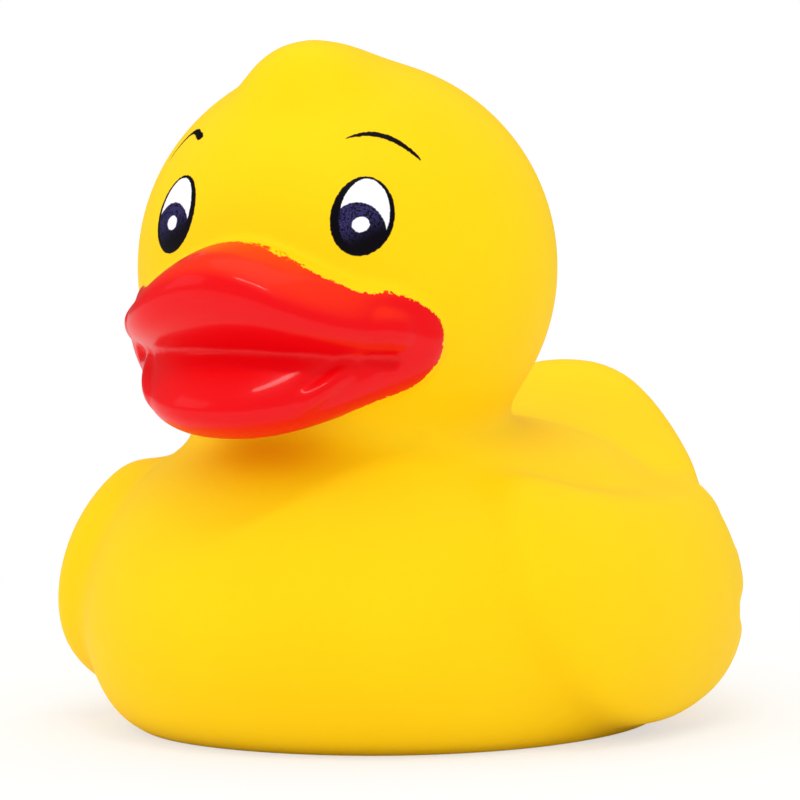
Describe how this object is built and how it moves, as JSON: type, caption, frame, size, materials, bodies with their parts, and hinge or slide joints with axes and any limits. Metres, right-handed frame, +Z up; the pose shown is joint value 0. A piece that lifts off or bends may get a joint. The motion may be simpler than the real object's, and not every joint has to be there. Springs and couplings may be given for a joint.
{
  "type": "rubber duck",
  "caption": "Round-headed yellow vinyl bath duck with a parted red beak, a small crest, folded wings, an upturned tail and a squeaker in its flat base.",
  "frame": {"origin": "in the plane that the duck stands on, below the middle of its length and width", "axes": "the duck looks along -Y, its tail points along +Y, +X is its left side and +Z is up"},
  "size_m": [0.0734, 0.0904, 0.0759],
  "materials": {
    "duck_vinyl": "satin yellow soft vinyl with a sprayed red beak and printed eyes",
    "squeaker_plastic": "satin white moulded plastic",
    "reed_film": "smooth thin film"
  },
  "bodies": {
    "root": {"duck_shell": "duck_vinyl", "squeaker": "squeaker_plastic", "squeaker_reed": "reed_film"}
  },
  "joints": []
}
